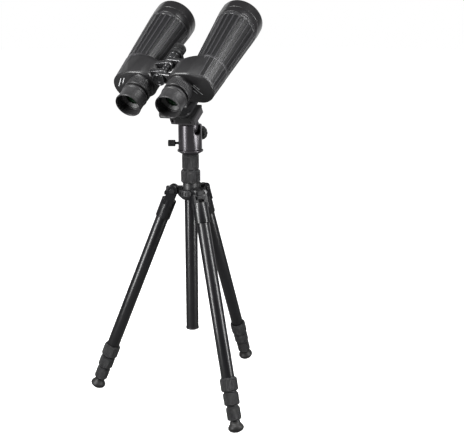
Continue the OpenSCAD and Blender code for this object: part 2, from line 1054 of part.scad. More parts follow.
spider();
leg_hinge_bolts();
leg_upper(1);  // leg_1_upper
leg_stop(1);  // leg_1_stop
leg_collar(1);  // leg_1_collar
leg_section(1, 1);  // leg_1_section_2
leg_section(1, 2);  // leg_1_section_3
leg_last_section(1);  // leg_1_section_4
leg_upper(2);  // leg_2_upper
leg_stop(2);  // leg_2_stop
leg_collar(2);  // leg_2_collar
leg_section(2, 1);  // leg_2_section_2
leg_section(2, 2);  // leg_2_section_3
leg_last_section(2);  // leg_2_section_4
leg_upper(3);  // leg_3_upper
leg_stop(3);  // leg_3_stop
leg_collar(3);  // leg_3_collar
leg_section(3, 1);  // leg_3_section_2
leg_section(3, 2);  // leg_3_section_3
leg_last_section(3);  // leg_3_section_4
column_tube();
column_end_cap();
column_lower_collar();
column_inner_tube();
column_upper_collar();
head_base();
head_body();
head_ball();
main_lock_knob();
pan_lock_knob();
clamp_jaw();
clamp_knob();
quick_plate();
bracket();
bracket_knob();
hinge_shaft();
hinge_cap();
hinge_washers();
housing(-1);  // left_housing
cover(-1);  // left_cover
prisms(-1);  // left_prisms
barrel(-1);  // left_barrel
armour(-1);  // left_armour
objective(-1);  // left_objective
shade(-1);  // left_shade
focus_ring(-1);  // left_focus_ring
ocular_barrel(-1);  // left_ocular_barrel
eye_lenses(-1);  // left_eye_lenses
eyecup(-1);  // left_eyecup
housing(1);  // right_housing
cover(1);  // right_cover
prisms(1);  // right_prisms
barrel(1);  // right_barrel
armour(1);  // right_armour
objective(1);  // right_objective
shade(1);  // right_shade
focus_ring(1);  // right_focus_ring
ocular_barrel(1);  // right_ocular_barrel
eye_lenses(1);  // right_eye_lenses
eyecup(1);  // right_eyecup
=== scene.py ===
import json
import math

import bmesh
import bpy
from mathutils import Matrix, Vector


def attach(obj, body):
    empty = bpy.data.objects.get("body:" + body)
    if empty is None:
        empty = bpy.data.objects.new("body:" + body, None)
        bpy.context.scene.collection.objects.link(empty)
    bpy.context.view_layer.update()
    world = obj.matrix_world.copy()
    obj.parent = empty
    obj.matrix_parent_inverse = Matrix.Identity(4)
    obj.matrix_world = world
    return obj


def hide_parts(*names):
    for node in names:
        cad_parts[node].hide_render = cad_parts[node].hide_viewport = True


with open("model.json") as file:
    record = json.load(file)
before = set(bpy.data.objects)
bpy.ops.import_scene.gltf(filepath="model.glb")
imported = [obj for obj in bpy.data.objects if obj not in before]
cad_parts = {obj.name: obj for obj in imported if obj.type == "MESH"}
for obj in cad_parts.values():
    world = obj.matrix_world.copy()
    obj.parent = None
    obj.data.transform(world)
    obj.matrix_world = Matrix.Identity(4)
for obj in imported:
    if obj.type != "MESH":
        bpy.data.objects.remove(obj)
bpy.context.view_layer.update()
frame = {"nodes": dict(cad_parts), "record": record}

MM = 0.001
GAP = 0.3
SIDES = {"left": -1, "right": 1}
LEGS = (1, 2, 3)

mounts = {m["name"]: m for m in frame["record"]["mounts"]}
joints = {j["name"]: j for j in frame["record"]["behaviour"]["joints"]}


# ---- frames, all in metres ----

def placed(origin, along, across):
    """Matrix at origin whose Y runs along and whose X is close to across."""
    y = Vector(along).normalized()
    x = Vector(across)
    x = (x - y * x.dot(y)).normalized()
    return Matrix.Translation(origin) @ Matrix((x, y, x.cross(y))).transposed().to_4x4()


def shifted(place, x=0, y=0, z=0):
    """The same frame, moved by millimetres along its own axes."""
    return place @ Matrix.Translation((x * MM, y * MM, z * MM))


X, Z = Vector((1, 0, 0)), Vector((0, 0, 1))
SIGHT = Vector(joints["right_fold"]["axis"])
COLUMN_FOOT = Vector(joints["head_pan"]["pos_m"]) * Vector((1, 1, 0))
UPRIGHT = placed(COLUMN_FOOT, Z, X)
HINGE_ANCHOR = -40
HINGE = shifted(placed(joints["right_fold"]["pos_m"], SIGHT, X), y=-HINGE_ANCHOR)
SHADE_FRONT, EYECUP_SEAT = 139.6, -136.4


def lens_frame(side):
    return shifted(placed(mounts[side + "_shade_bore"]["pos_m"], SIGHT, X), y=-SHADE_FRONT)


def eye_frame(side):
    return shifted(placed(mounts[side + "_eyecup_bore"]["pos_m"], SIGHT, X), y=-EYECUP_SEAT)


def leg_frame(n):
    """Y runs down the leg from its hinge bolt, X along the bolt."""
    fold = joints[f"leg_{n}_fold"]
    return placed(fold["pos_m"], joints[f"leg_{n}_extend_2"]["axis"], fold["axis"])


def local(place, point):
    """A point in metres as millimetres in the frame place."""
    return place.inverted() @ Vector(point) / MM


# ---- materials ----

def material(name, base, roughness, metallic=0.0, coat=0.0, specular=0.5, sheen=0.0):
    mat = bpy.data.materials.new(name)
    mat.use_nodes = True
    shader = mat.node_tree.nodes["Principled BSDF"]
    shader.inputs["Base Color"].default_value = (*base, 1)
    shader.inputs["Roughness"].default_value = roughness
    shader.inputs["Metallic"].default_value = metallic
    shader.inputs["Coat Weight"].default_value = coat
    shader.inputs["Coat Roughness"].default_value = 0.12
    shader.inputs["Specular IOR Level"].default_value = specular
    shader.inputs["Sheen Weight"].default_value = sheen
    shader.inputs["Sheen Roughness"].default_value = 0.5
    return mat


def node(mat, kind, **inputs):
    made = mat.node_tree.nodes.new(kind)
    for key, value in inputs.items():
        made.inputs[key.replace("_", " ")].default_value = value
    return made


def link(mat, source, target):
    mat.node_tree.links.new(source, target)


def shader_of(mat):
    return mat.node_tree.nodes["Principled BSDF"]


def noise(mat, scale, detail=3.0, stretch=(1, 1, 1)):
    """Noise over the part's own coordinates, in features per metre."""
    place = node(mat, "ShaderNodeTexCoord")
    mapping = node(mat, "ShaderNodeMapping", Scale=stretch)
    link(mat, place.outputs["Object"], mapping.inputs["Vector"])
    tex = node(mat, "ShaderNodeTexNoise", Scale=scale, Detail=detail)
    link(mat, mapping.outputs["Vector"], tex.inputs["Vector"])
    return tex.outputs["Fac"]


def ramp(mat, value, stops):
    """Colour ramp through (position, colour) stops."""
    made = node(mat, "ShaderNodeValToRGB")
    link(mat, value, made.inputs["Fac"])
    cells = made.color_ramp.elements
    while len(cells) < len(stops):
        cells.new(0.5)
    for cell, (position, colour) in zip(cells, stops):
        cell.position = position
        cell.color = (*colour, 1)
    return made.outputs["Color"]


def spread(mat, value, low, high):
    made = node(mat, "ShaderNodeMapRange", To_Min=low, To_Max=high)
    link(mat, value, made.inputs["Value"])
    return made.outputs["Result"]


def maths(mat, operation, a, b=None):
    made = mat.node_tree.nodes.new("ShaderNodeMath")
    made.operation = operation
    for socket, value in zip(made.inputs, (a, b)):
        if isinstance(value, (int, float)):
            socket.default_value = value
        elif value is not None:
            link(mat, value, socket)
    return made.outputs["Value"]


def bump(mat, height, depth, strength=1.0):
    """Bump of the given depth in metres, laid over any bump the material has."""
    made = node(mat, "ShaderNodeBump", Strength=strength, Distance=depth)
    link(mat, height, made.inputs["Height"])
    normal = shader_of(mat).inputs["Normal"]
    if normal.is_linked:
        link(mat, normal.links[0].from_socket, made.inputs["Normal"])
    link(mat, made.outputs["Normal"], normal)


def mottled(mat, base, spread_of_tone, scale):
    """Base colour that drifts a little lighter and darker."""
    dark = [c * (1 - spread_of_tone) for c in base]
    light = [min(1, c * (1 + spread_of_tone)) for c in base]
    colour = ramp(mat, noise(mat, scale), [(0.3, dark), (0.7, light)])
    link(mat, colour, shader_of(mat).inputs["Base Color"])


def varied_roughness(mat, low, high, scale, stretch=(1, 1, 1)):
    link(mat, spread(mat, noise(mat, scale, 4.0, stretch), low, high), shader_of(mat).inputs["Roughness"])


MIX_A, MIX_B, MIX_RESULT = 6, 7, 2  # the colour sockets of a Mix node


def worn_and_glinting_edges(mat, amount, tone):
    """Edges painted lighter, from the curvature of the mesh, over the base colour the material has: rubbed
    wear on the castings, and a painted highlight on the hinge gloss and the armour ribs.
    """
    shader = shader_of(mat)
    geometry = node(mat, "ShaderNodeNewGeometry")
    edge = ramp(mat, geometry.outputs["Pointiness"], [(0.52, (0, 0, 0)), (0.62, (1, 1, 1))])
    patchy = maths(mat, "MULTIPLY", edge, spread(mat, noise(mat, 180), 0.2, amount))
    mix = node(mat, "ShaderNodeMix")
    mix.data_type = "RGBA"
    link(mat, patchy, mix.inputs["Factor"])
    colour = shader.inputs["Base Color"]
    link(mat, colour.links[0].from_socket, mix.inputs[MIX_A])
    mix.inputs[MIX_B].default_value = (*tone, 1)
    link(mat, mix.outputs[MIX_RESULT], colour)


def wrap_part(mat, along_u):
    """A lathe piece's own map, whose u is the arc and v the profile, both in metres."""
    uv = node(mat, "ShaderNodeUVMap")
    uv.uv_map = "wrap"
    split = node(mat, "ShaderNodeSeparateXYZ")
    link(mat, uv.outputs["UV"], split.inputs["Vector"])
    return split.outputs["X" if along_u else "Y"]


def lathe_wave(mat, along_u, pitch):
    """Sine wave over a lathe piece's own map."""
    return maths(mat, "SINE", maths(mat, "MULTIPLY", wrap_part(mat, along_u), 2 * math.pi / pitch))


def make_casting():
    base = (0.011, 0.011, 0.012)
    mat = material("powder_black", base, 0.45, metallic=0.1, coat=0.04)
    mottled(mat, base, 0.25, 60)
    varied_roughness(mat, 0.4, 0.54, 220)
    bump(mat, noise(mat, 2600, 2.0), 0.00006, 0.5)
    worn_and_glinting_edges(mat, 0.5, (0.028, 0.028, 0.03))
    return mat


def make_tube():
    base = (0.006, 0.006, 0.007)
    mat = material("anodised_black", base, 0.3, coat=0.15)
    mottled(mat, base, 0.2, 25)
    varied_roughness(mat, 0.26, 0.36, 900, (1, 1, 0.02))
    bump(mat, noise(mat, 1800, 2.0, (1, 1, 0.03)), 0.000003, 0.3)
    return mat


def make_head_metal():
    base = (0.05, 0.046, 0.052)
    mat = material("satin_anodised", base, 0.3, metallic=0.6, coat=0.1)
    mottled(mat, base, 0.15, 30)
    varied_roughness(mat, 0.24, 0.36, 500, (1, 1, 12))
    bump(mat, noise(mat, 1500, 2.0, (1, 1, 8)), 0.000012, 0.5)
    worn_and_glinting_edges(mat, 0.6, (0.3, 0.29, 0.3))
    return mat


def make_grip(name, base, roughness, pitch_u=0, pitch_v=0, depth=0):
    """Moulded rubber, with fine ribs of the given pitches across its own map."""
    mat = material(name, base, roughness, specular=0.4, sheen=0.05)
    mottled(mat, base, 0.2, 90)
    bump(mat, noise(mat, 3000, 2.0), 0.00002, 0.3)
    if pitch_u:
        bump(mat, lathe_wave(mat, True, pitch_u), depth, 0.6)
    if pitch_v:
        bump(mat, lathe_wave(mat, False, pitch_v), depth, 0.6)
    return mat


def make_housing_rubber():
    base = (0.012, 0.0117, 0.0125)
    mat = material("housing_rubber", base, 0.36, specular=0.5, coat=0.1)
    mottled(mat, base, 0.12, 40)
    varied_roughness(mat, 0.32, 0.42, 130)
    bump(mat, noise(mat, 5200, 2.0), 0.00004, 0.35)
    return mat


ARMOUR_PANELS, ARMOUR_WIDEST = 24, 41


def make_armour_rubber():
    """Dark panels between ribs painted lighter as a painted highlight, which lie where the sleeve's map
    crosses a whole panel.
    """
    panel, crest_highlight = (0.006, 0.0059, 0.0066), (0.026, 0.0255, 0.028)
    mat = material("armour_rubber", panel, 0.36, specular=0.5, coat=0.08)
    turn = maths(mat, "MULTIPLY", wrap_part(mat, True), ARMOUR_PANELS / (ARMOUR_WIDEST * MM))
    # the ribs take a lighter colour than the panels: a painted highlight along each rib
    rib_highlight = maths(mat, "MULTIPLY", maths(mat, "COSINE", turn), spread(mat, noise(mat, 60), 0.94, 1.0))
    link(mat, ramp(mat, rib_highlight, [(0.74, panel), (0.8, crest_highlight)]), shader_of(mat).inputs["Base Color"])
    varied_roughness(mat, 0.32, 0.42, 200)
    cross = maths(mat, "MULTIPLY", lathe_wave(mat, True, 0.0021), lathe_wave(mat, False, 0.0021))
    bump(mat, cross, 0.00007, 0.5)
    # rib edges lighter from the mesh's curvature: a painted highlight along the rib edges
    worn_and_glinting_edges(mat, 0.8, (0.11, 0.108, 0.115))
    bump(mat, noise(mat, 3500, 2.0), 0.00004, 0.4)
    return mat


def make_shade_coat():
    base = (0.014, 0.0135, 0.0145)
    mat = material("shade_coat", base, 0.28, metallic=0.1, coat=0.25)
    mottled(mat, base, 0.1, 30)
    varied_roughness(mat, 0.24, 0.34, 300, (12, 1, 1))
    bump(mat, noise(mat, 3000, 2.0), 0.00002, 0.4)
    return mat


def make_gloss_black():
    base = (0.035, 0.035, 0.037)
    mat = material("hinge_gloss", base, 0.24, metallic=0.5, coat=0.5, specular=0.6)
    mottled(mat, base, 0.3, 80)
    varied_roughness(mat, 0.2, 0.3, 250)
    # edges painted lighter: a painted highlight on the lug, cap and collar-rim edges
    worn_and_glinting_edges(mat, 0.5, (0.2, 0.2, 0.2))
    return mat


def make_steel():
    base = (0.42, 0.42, 0.43)
    mat = material("plain_steel", base, 0.3, metallic=1.0)
    mottled(mat, base, 0.12, 200)
    varied_roughness(mat, 0.22, 0.42, 700)
    bump(mat, noise(mat, 4000, 2.0), 0.00001, 0.4)
    return mat


def make_glass(name, tint, coat_tint_and_sheen, roughness):
    """Coated lens: a dark body whose base colour turns to the coating's tint towards its rim, a painted
    reflection of the coating.
    """
    mat = material(name, tint, roughness, metallic=0.0, coat=1.0, specular=0.9)
    shader = shader_of(mat)
    shader.inputs["Coat Roughness"].default_value = 0.08
    shader.inputs["Coat Tint"].default_value = (*coat_tint_and_sheen, 1)
    shader.inputs["Transmission Weight"].default_value = 0.25
    facing = node(mat, "ShaderNodeLayerWeight", Blend=0.35)
    dark = [c * 0.4 for c in tint]
    # base colour from dark to the coating's tint by facing: a painted reflection
    link(mat, ramp(mat, facing.outputs["Facing"], [(0.0, dark), (1.0, coat_tint_and_sheen)]),
         shader.inputs["Base Color"])
    varied_roughness(mat, roughness, roughness + 0.03, 60)
    return mat


def make_paint_white():
    base = (0.72, 0.73, 0.74)
    mat = material("print_white", base, 0.4, coat=0.2)
    mottled(mat, base, 0.12, 500)
    bump(mat, noise(mat, 4000, 2.0), 0.00002, 0.4)
    return mat


CASTING = make_casting()
TUBE = make_tube()
HEAD_METAL = make_head_metal()
COLLAR_GRIP = make_grip("collar_grip", (0.016, 0.016, 0.017), 0.38, pitch_u=0.0021, pitch_v=0.0021,
                        depth=0.0006)
KNOB_GRIP = make_grip("knob_grip", (0.01, 0.01, 0.0105), 0.36)
FOOT_RUBBER = make_grip("foot_rubber", (0.011, 0.0107, 0.0104), 0.5)
EYECUP_RUBBER = make_grip("eyecup_rubber", (0.018, 0.0176, 0.0185), 0.42, pitch_v=0.0011, depth=0.00003)
RING_GRIP = make_grip("ring_grip", (0.014, 0.0137, 0.0145), 0.4)
HOUSING = make_housing_rubber()
ARMOUR = make_armour_rubber()
SHADE = make_shade_coat()
GLOSS = make_gloss_black()
STEEL = make_steel()
# a lighter grey copy of the black ocular finish: painted highlight of light caught on the inner cone round
# the eye lens
EYE_RIM_HIGHLIGHT = make_grip("eye_rim_highlight", (0.1, 0.1, 0.1), 0.4, pitch_v=0.0012, depth=0.0001)
LENS = make_glass("objective_glass", (0.02, 0.035, 0.03), (0.25, 0.5, 0.36), 0.03)
EYE_LENS = make_glass("eye_glass", (0.012, 0.03, 0.018), (0.12, 0.22, 0.14), 0.04)
PRISM = make_glass("prism_glass", (0.3, 0.34, 0.33), (0.5, 0.55, 0.54), 0.05)
PRINT = make_paint_white()
INNER = make_grip("inner_black", (0.012, 0.012, 0.012), 0.7)


# ---- mesh building, in millimetres in a local frame ----

def soften(points, radius=0.4, steps=3, closed=True):
    """Outline with rounded corners. A point may carry its own radius as a third number."""
    made = []
    count = len(points)
    for i, point in enumerate(points):
        here = Vector(point[:2])
        r = point[2] if len(point) > 2 else radius
        if not closed and i in (0, count - 1) or r == 0:
            made.append(here)
            continue
        before = Vector(points[i - 1][:2]) - here
        after = Vector(points[(i + 1) % count][:2]) - here
        turn = before.angle(after, math.pi)
        reach = min(r / max(math.tan(turn / 2), 0.05), before.length * 0.45, after.length * 0.45)
        a, b = here + before.normalized() * reach, here + after.normalized() * reach
        for k in range(steps + 1):
            t = k / steps
            made.append(a * (1 - t) ** 2 + here * 2 * t * (1 - t) + b * t * t)
    return made


def finished(name, bm, place, mat, sharp=40):
    """Object from a bmesh drawn in millimetres, with its vertices in the row frame."""
    bmesh.ops.remove_doubles(bm, verts=bm.verts, dist=1e-5)
    bm.transform(place @ Matrix.Scale(MM, 4))
    bmesh.ops.recalc_face_normals(bm, faces=bm.faces)
    mesh = bpy.data.meshes.new(name)
    bm.to_mesh(mesh)
    bm.free()
    mesh.polygons.foreach_set("use_smooth", [True] * len(mesh.polygons))
    mesh.set_sharp_from_angle(angle=math.radians(sharp))
    mesh.materials.append(mat)
    made = bpy.data.objects.new(name, mesh)
    bpy.context.scene.collection.objects.link(made)
    return made


def lathe(name, place, profile, mat, segments=96, relief=None, radius=0.4, angles=None, sharp=40, widest=0):
    """Solid turned about the frame's Y from (radius, y) points: closed, or open with both ends on the axis.
    relief(angle, r, y) moves a point in or out. widest is the radius its map is laid out for."""
    on_axis = profile[0][0] == 0 and profile[-1][0] == 0
    outline = soften(profile, radius, closed=not on_axis)
    turns = angles or [2 * math.pi * j / segments for j in range(segments)]
    bm = bmesh.new()
    wrap = bm.loops.layers.uv.new("wrap")
    run = [0.0]
    for a, b in zip(outline, outline[1:]):
        run.append(run[-1] + (b - a).length)
    widest = widest or max(p.x for p in outline)
    rings = []
    for p in outline:
        if p.x < 1e-4:
            rings.append([bm.verts.new((0, p.y, 0))] * len(turns))
            continue
        ring = []
        for a in turns:
            r = p.x + (relief(a, p.x, p.y) if relief else 0)
            ring.append(bm.verts.new((r * math.sin(a), p.y, r * math.cos(a))))
        rings.append(ring)
    pairs = list(zip(range(len(rings)), range(1, len(rings))))
    if not on_axis:
        pairs.append((len(rings) - 1, 0))
    count = len(turns)
    for i, k in pairs:
        for j in range(count):
            corners = [(i, j), (i, j + 1), (k, j + 1), (k, j)]
            verts = [rings[ring][step % count] for ring, step in corners]
            kept = [n for n in range(4) if verts[n] not in verts[:n]]
            if len(kept) < 3:
                continue
            face = bm.faces.new([verts[n] for n in kept])
            for loop, n in zip(face.loops, kept):
                ring, step = corners[n]
                turn = turns[step] if step < count else turns[0] + 2 * math.pi
                far = run[ring] if ring or k else run[-1]
                loop[wrap].uv = (turn * widest * MM, far * MM)
    return finished(name, bm, place, mat, sharp)


def recolour(made, place, mat, test):
    """Second material on the faces whose middle, as radius and height in the frame, passes the test."""
    made.data.materials.append(mat)
    back = place.inverted()
    for face in made.data.polygons:
        middle = (back @ face.center) / MM
        if test(math.hypot(middle.x, middle.z), middle.y):
            face.material_index = 1
    return made


def hull_outline(circles, count=120):
    """Points round the tight band about circles given as (x, z, r)."""
    points = []
    for j in range(count):
        a = 2 * math.pi * j / count
        n = Vector((math.cos(a), math.sin(a)))
        x, z, r = max(circles, key=lambda c: c[0] * n.x + c[1] * n.y + c[2])
        points.append((x + r * n.x, z + r * n.y))
    return points


def loft(name, place, stations, mat, sharp=35):
    """Closed solid through (y, outline) stations with equal counts of (x, z) points."""
    bm = bmesh.new()
    rings = [[bm.verts.new((x, y, z)) for x, z in outline] for y, outline in stations]
    for low, high in zip(rings, rings[1:]):
        for j in range(len(low)):
            k = (j + 1) % len(low)
            bm.faces.new([low[j], low[k], high[k], high[j]])
    bm.faces.new(rings[0])
    bm.faces.new(rings[-1])
    return finished(name, bm, place, mat, sharp)


def plate(name, place, outline, y0, y1, mat, bevel=0.5, sharp=35):
    """Flat solid with a bevelled rim: the outline in X and Z, from y0 to y1."""
    bm = bmesh.new()
    low = [bm.verts.new((x, y0, z)) for x, z in outline]
    high = [bm.verts.new((x, y1, z)) for x, z in outline]
    for j in range(len(low)):
        k = (j + 1) % len(low)
        bm.faces.new([low[j], low[k], high[k], high[j]])
    caps = [bm.faces.new(low), bm.faces.new(high)]
    if bevel:
        rim = {e for cap in caps for e in cap.edges}
        bmesh.ops.bevel(bm, geom=list(rim), offset=bevel, segments=3, profile=0.6, affect="EDGES")
    return finished(name, bm, place, mat, sharp)


def combine(target, tool, operation):
    """Boolean of target with tool, applied, and the tool removed."""
    step = target.modifiers.new("step", "BOOLEAN")
    step.operation = operation
    step.solver = "EXACT"
    step.material_mode = "TRANSFER"
    step.object = tool
    graph = bpy.context.evaluated_depsgraph_get()
    result = target.evaluated_get(graph)
    mesh = bpy.data.meshes.new_from_object(result, preserve_all_data_layers=True, depsgraph=graph)
    target.modifiers.clear()
    target.data = mesh
    mesh.set_sharp_from_angle(angle=math.radians(35))
    bpy.data.objects.remove(tool)
    return target


def bored(target, place, r, y0, y1):
    """target with a round hole along the frame's Y."""
    tool = lathe("tool", place, [(0, y0), (r, y0), (r, y1), (0, y1)], INNER, 64, radius=0)
    return combine(target, tool, "DIFFERENCE")


def stands_for(piece, body, slot, *nodes):
    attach(piece, body)
    if nodes:
        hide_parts(*nodes)
    return piece


def dress(names, mat, bevel=0.0):
    """A new material, and softened edges, for CAD nodes that stay."""
    for name in names:
        kept = frame["nodes"][name]
        kept.data.materials.clear()
        kept.data.materials.append(mat)
        if bevel:
            weld = kept.modifiers.new("weld", "WELD")
            weld.merge_threshold = 0.00001
            soft = kept.modifiers.new("soft", "BEVEL")
            soft.width = bevel * MM
            soft.segments = 2
            soft.limit_method = "ANGLE"
            soft.angle_limit = math.radians(40)


# ---- binocular halves ----

HOUSING_BACK, HOUSING_FRONT = -76, -24
COVER_BACK = -80
ARMOUR_FRONT, BARREL_FRONT = 104, 118
LUG_R, LUG_W = 10.5, 8
LUGS = {"left": (-69.2, -44.8), "right": (-78.4, -35.6)}
SHAFT_R = 7
LENS_R, SHADE_R, SHADE_BORE = 39.5, 42, 40.8
EYECUP_R, RING_R, SLEEVE_R = 24, 24, 20.4


def cone_r(y):
    """Outer radius of the armoured barrel."""
    return 28.4 + 0.0685 * (y - COVER_BACK)


def half_centres(side):
    """Objective axis, eyepiece axis and the point between, as (x, z) in the hinge frame."""
    lens = local(HINGE, lens_frame(side).translation)
    eye = local(HINGE, eye_frame(side).translation)
    lens, eye = Vector((lens.x, lens.z)), Vector((eye.x, eye.z))
    return lens, eye, (lens + eye) / 2


def housing_circles(side, grow=0.0, pull=0.0, y=HOUSING_BACK):
    """The housing's three circles. pull draws the inner two in towards the barrel, from 0 to 1."""
    lens, eye, middle = half_centres(side)
    base = cone_r(y)
    made = [(lens.x, lens.y, base + grow)]
    for centre, r in ((middle, 31), (eye, 27.5)):
        moved = centre.lerp(lens, pull)
        made.append((moved.x, moved.y, r + (base - r) * pull + grow))
    return made


def make_housing(side):
    stations = []
    for y, grow in ((HOUSING_BACK, -0.8), (-75.7, -0.2), (-75, 0)):
        stations.append((y, hull_outline(housing_circles(side, grow, 0, y))))
    for k in range(15):
        t = k / 14
        y = -40 + 16 * math.sin(t * math.pi / 2)
        pull = 0.92 * (1 - math.cos(t * math.pi / 2))
        stations.append((y, hull_outline(housing_circles(side, 0, pull, y))))
    made = loft(side + "_housing_shell", HINGE, stations, HOUSING)
    for y in LUGS[side]:
        ears = [(0, 0, LUG_R), (28 * SIDES[side], -2, 9.5)]
        shrunk = [(x, z, r - 0.7) for x, z, r in ears]
        ring = [(y, shrunk), (y + 0.2, [(x, z, r - 0.3) for x, z, r in ears]), (y + 0.7, ears)]
        ring += [(2 * y + LUG_W - a, b) for a, b in reversed(ring)]
        arm = loft("arm", HINGE, [(a, hull_outline(b, 96)) for a, b in ring], GLOSS)
        combine(made, arm, "UNION")
    behind = [(y, hull_outline(housing_circles(side, 0.9))) for y in (HOUSING_BACK - 8, HOUSING_BACK)]
    combine(made, loft("behind", HINGE, behind, HOUSING), "DIFFERENCE")
    hollow = [(HOUSING_BACK - 1, -3), (-33, -3)]
    room = loft("room", HINGE, [(y, hull_outline(housing_circles(side, g))) for y, g in hollow], INNER)
    combine(made, room, "DIFFERENCE")
    bored(made, lens_frame(side), 24, -36, -20)
    bored(made, HINGE, SHAFT_R + 0.05, -82, -22)
    return stands_for(made, side + "_half", "housing_rubber", side + "_housing")


def make_cover(side):
    stations = []
    for y, grow in ((-80, -1.6), (-79.8, -0.7), (-79.2, -0.1), (-78.6, 0.3), (-78.1, 0.5), (-77.9, 0),
                    (-77.6, 0), (-77.4, 0.6), (-76.6, 0.6), (-76.2, 0.2)):
        stations.append((y, hull_outline(housing_circles(side, grow))))
    made = loft(side + "_cover_plate", HINGE, stations, HOUSING)
    boss = lathe("boss", eye_frame(side),
                 [(0, -86), (21, -86, 0.8), (21.6, -80.5), (23, -79.8, 1.5), (23, -78), (0, -78)], HOUSING)
    combine(made, boss, "UNION")
    bored(made, eye_frame(side), 16.15, -88, -74)
    return stands_for(made, side + "_half", "housing_rubber", side + "_cover")


ARMOUR_SECTOR = 2 * math.pi / ARMOUR_PANELS
RIB_HALF, RIB_FLANK = 0.03, 0.012
PANEL_CUTS = [0, RIB_HALF, RIB_HALF + RIB_FLANK, ARMOUR_SECTOR / 2, ARMOUR_SECTOR - RIB_HALF - RIB_FLANK,
              ARMOUR_SECTOR - RIB_HALF]
ARMOUR_ANGLES = [n * ARMOUR_SECTOR + a for n in range(ARMOUR_PANELS) for a in PANEL_CUTS]


def armour_lathe(name, side, profile, relief):
    return lathe(name, lens_frame(side), profile, ARMOUR, relief=relief, angles=ARMOUR_ANGLES, sharp=30,
                 widest=ARMOUR_WIDEST)


def make_armour(side):
    """Rubber sleeve with recessed grip panels between raised ribs."""
    inset, back, front = 0.9, HOUSING_FRONT + 0.2, ARMOUR_FRONT - 0.2

    def relief(angle, r, y):
        if r < cone_r(y) - 1.6:
            return 0
        a = angle % ARMOUR_SECTOR
        edge = min(a, ARMOUR_SECTOR - a)
        along = min(y - back - 5, front - 6 - y)
        if along <= 0 or edge <= RIB_HALF:
            return 0
        fade = min(1, along / 1.2)
        depth = inset * min(1, (edge - RIB_HALF) / RIB_FLANK) * fade
        half = ARMOUR_SECTOR / 2
        bulge = cone_r(y) * (1 - math.cos(half - RIB_HALF) / math.cos(a - half)) * 0.55
        return -depth + min(0.5, bulge) * fade

    steps = [back + 0.8, back + 5, back + 5.6, back + 6.2, back + 8]
    steps += [back + 8 + (front - back - 17) * k / 12 for k in range(1, 12)]
    steps += [front - 9, front - 7.2, front - 6.6, front - 6, front - 0.9]
    profile = [(cone_r(back) - 2.1, back, 0), (cone_r(back) - 0.5, back, 0)]
    profile += [(cone_r(y), y, 0) for y in steps]
    profile += [(cone_r(front) - 0.7, front, 0), (cone_r(front) - 2.1, front, 0)]
    made = armour_lathe(side + "_armour_sleeve", side, profile, relief)
    stands_for(made, side + "_half", "armour_rubber", side + "_armour")


def make_skirt(side):
    """Ribbed armour that carries on back to the cover, on the outer side of the housing only."""
    start, end, count = HOUSING_BACK + 1.3, HOUSING_FRONT, 16

    def relief(angle, r, y):
        a = angle % ARMOUR_SECTOR
        return 0 if r < cone_r(y) - 0.5 or min(a, ARMOUR_SECTOR - a) <= RIB_HALF else -0.35

    steps = [start + (end - start) * k / count for k in range(count + 1)]
    profile = [(cone_r(start) - 2, start, 0), *((cone_r(y) + 0.5, y, 0) for y in steps),
               (cone_r(end) - 2, end, 0)]
    made = armour_lathe(side + "_armour_skirt", side, profile, relief)
    inner = [(y, hull_outline(housing_circles(side, -0.3, 0, y), 240)) for y in (start - 3, end + 3)]
    combine(made, loft("inner", HINGE, inner, ARMOUR), "DIFFERENCE")
    stands_for(made, side + "_half", "armour_rubber", side + "_armour")


def make_barrel(side):
    front_r = cone_r(ARMOUR_FRONT) - 2.2
    back_r = cone_r(HOUSING_FRONT) - 2.2
    profile = [(23.9, HOUSING_FRONT - 6), (23.9, HOUSING_FRONT + 0.2), (back_r, HOUSING_FRONT + 0.2),
               (front_r, ARMOUR_FRONT, 0.1), (cone_r(ARMOUR_FRONT), ARMOUR_FRONT, 0.5),
               (SHADE_R - 0.1, BARREL_FRONT, 0.7), (LENS_R + 0.1, BARREL_FRONT, 0.2),
               (LENS_R + 0.1, 105.3, 0.1), (front_r - 2, 105.3), (back_r - 2, HOUSING_FRONT + 6),
               (21, HOUSING_FRONT + 2), (21, HOUSING_FRONT - 6)]
    made = lathe(side + "_barrel_tube", lens_frame(side), profile, SHADE, 128)
    return stands_for(made, side + "_half", "shade_coat", side + "_barrel")


def make_shade(side):
    profile = [(SHADE_BORE, BARREL_FRONT + 0.2), (SHADE_R - 0.3, BARREL_FRONT + 0.2, 0.3),
               (SHADE_R, BARREL_FRONT + 0.8, 0.4), (SHADE_R, SHADE_FRONT - 1.4, 2),
               (SHADE_R - 0.4, SHADE_FRONT, 0.5), (SHADE_BORE + 0.2, SHADE_FRONT, 0.4)]
    for k in range(7):
        y = SHADE_FRONT - 2.4 - 2.6 * k
        profile += [(SHADE_BORE + 0.3, y, 0.1), (SHADE_BORE, y - 0.5, 0.1), (SHADE_BORE, y - 1.2, 0.1),
                    (SHADE_BORE + 0.3, y - 1.7, 0.1)]
    made = lathe(side + "_dew_shade", lens_frame(side), profile, SHADE, 128)
    stands_for(made, side + "_half", "shade_coat", side + "_shade")
    ring = [(LENS_R - 1.6, 115.6, 0.1), (LENS_R, 115.2, 0.1), (LENS_R, 118, 0.2), (LENS_R - 1, 118, 0.3),
            (LENS_R - 1.6, 117, 0.2)]
    kept = lathe(side + "_lens_ring", lens_frame(side), ring, INNER, 128)
    stands_for(kept, side + "_half", "shade_coat", side + "_shade")


def lens_profile(r, back, front, back_bulge, front_bulge, steps=14):
    """Points of a lens from its front centre round to its back centre."""
    parts = [k / steps for k in range(steps + 1)]
    made = [(r * t, front + front_bulge * (1 - t ** 2), 0) for t in parts]
    return made + [(r * t, back - back_bulge * (1 - t ** 2), 0) for t in reversed(parts)]


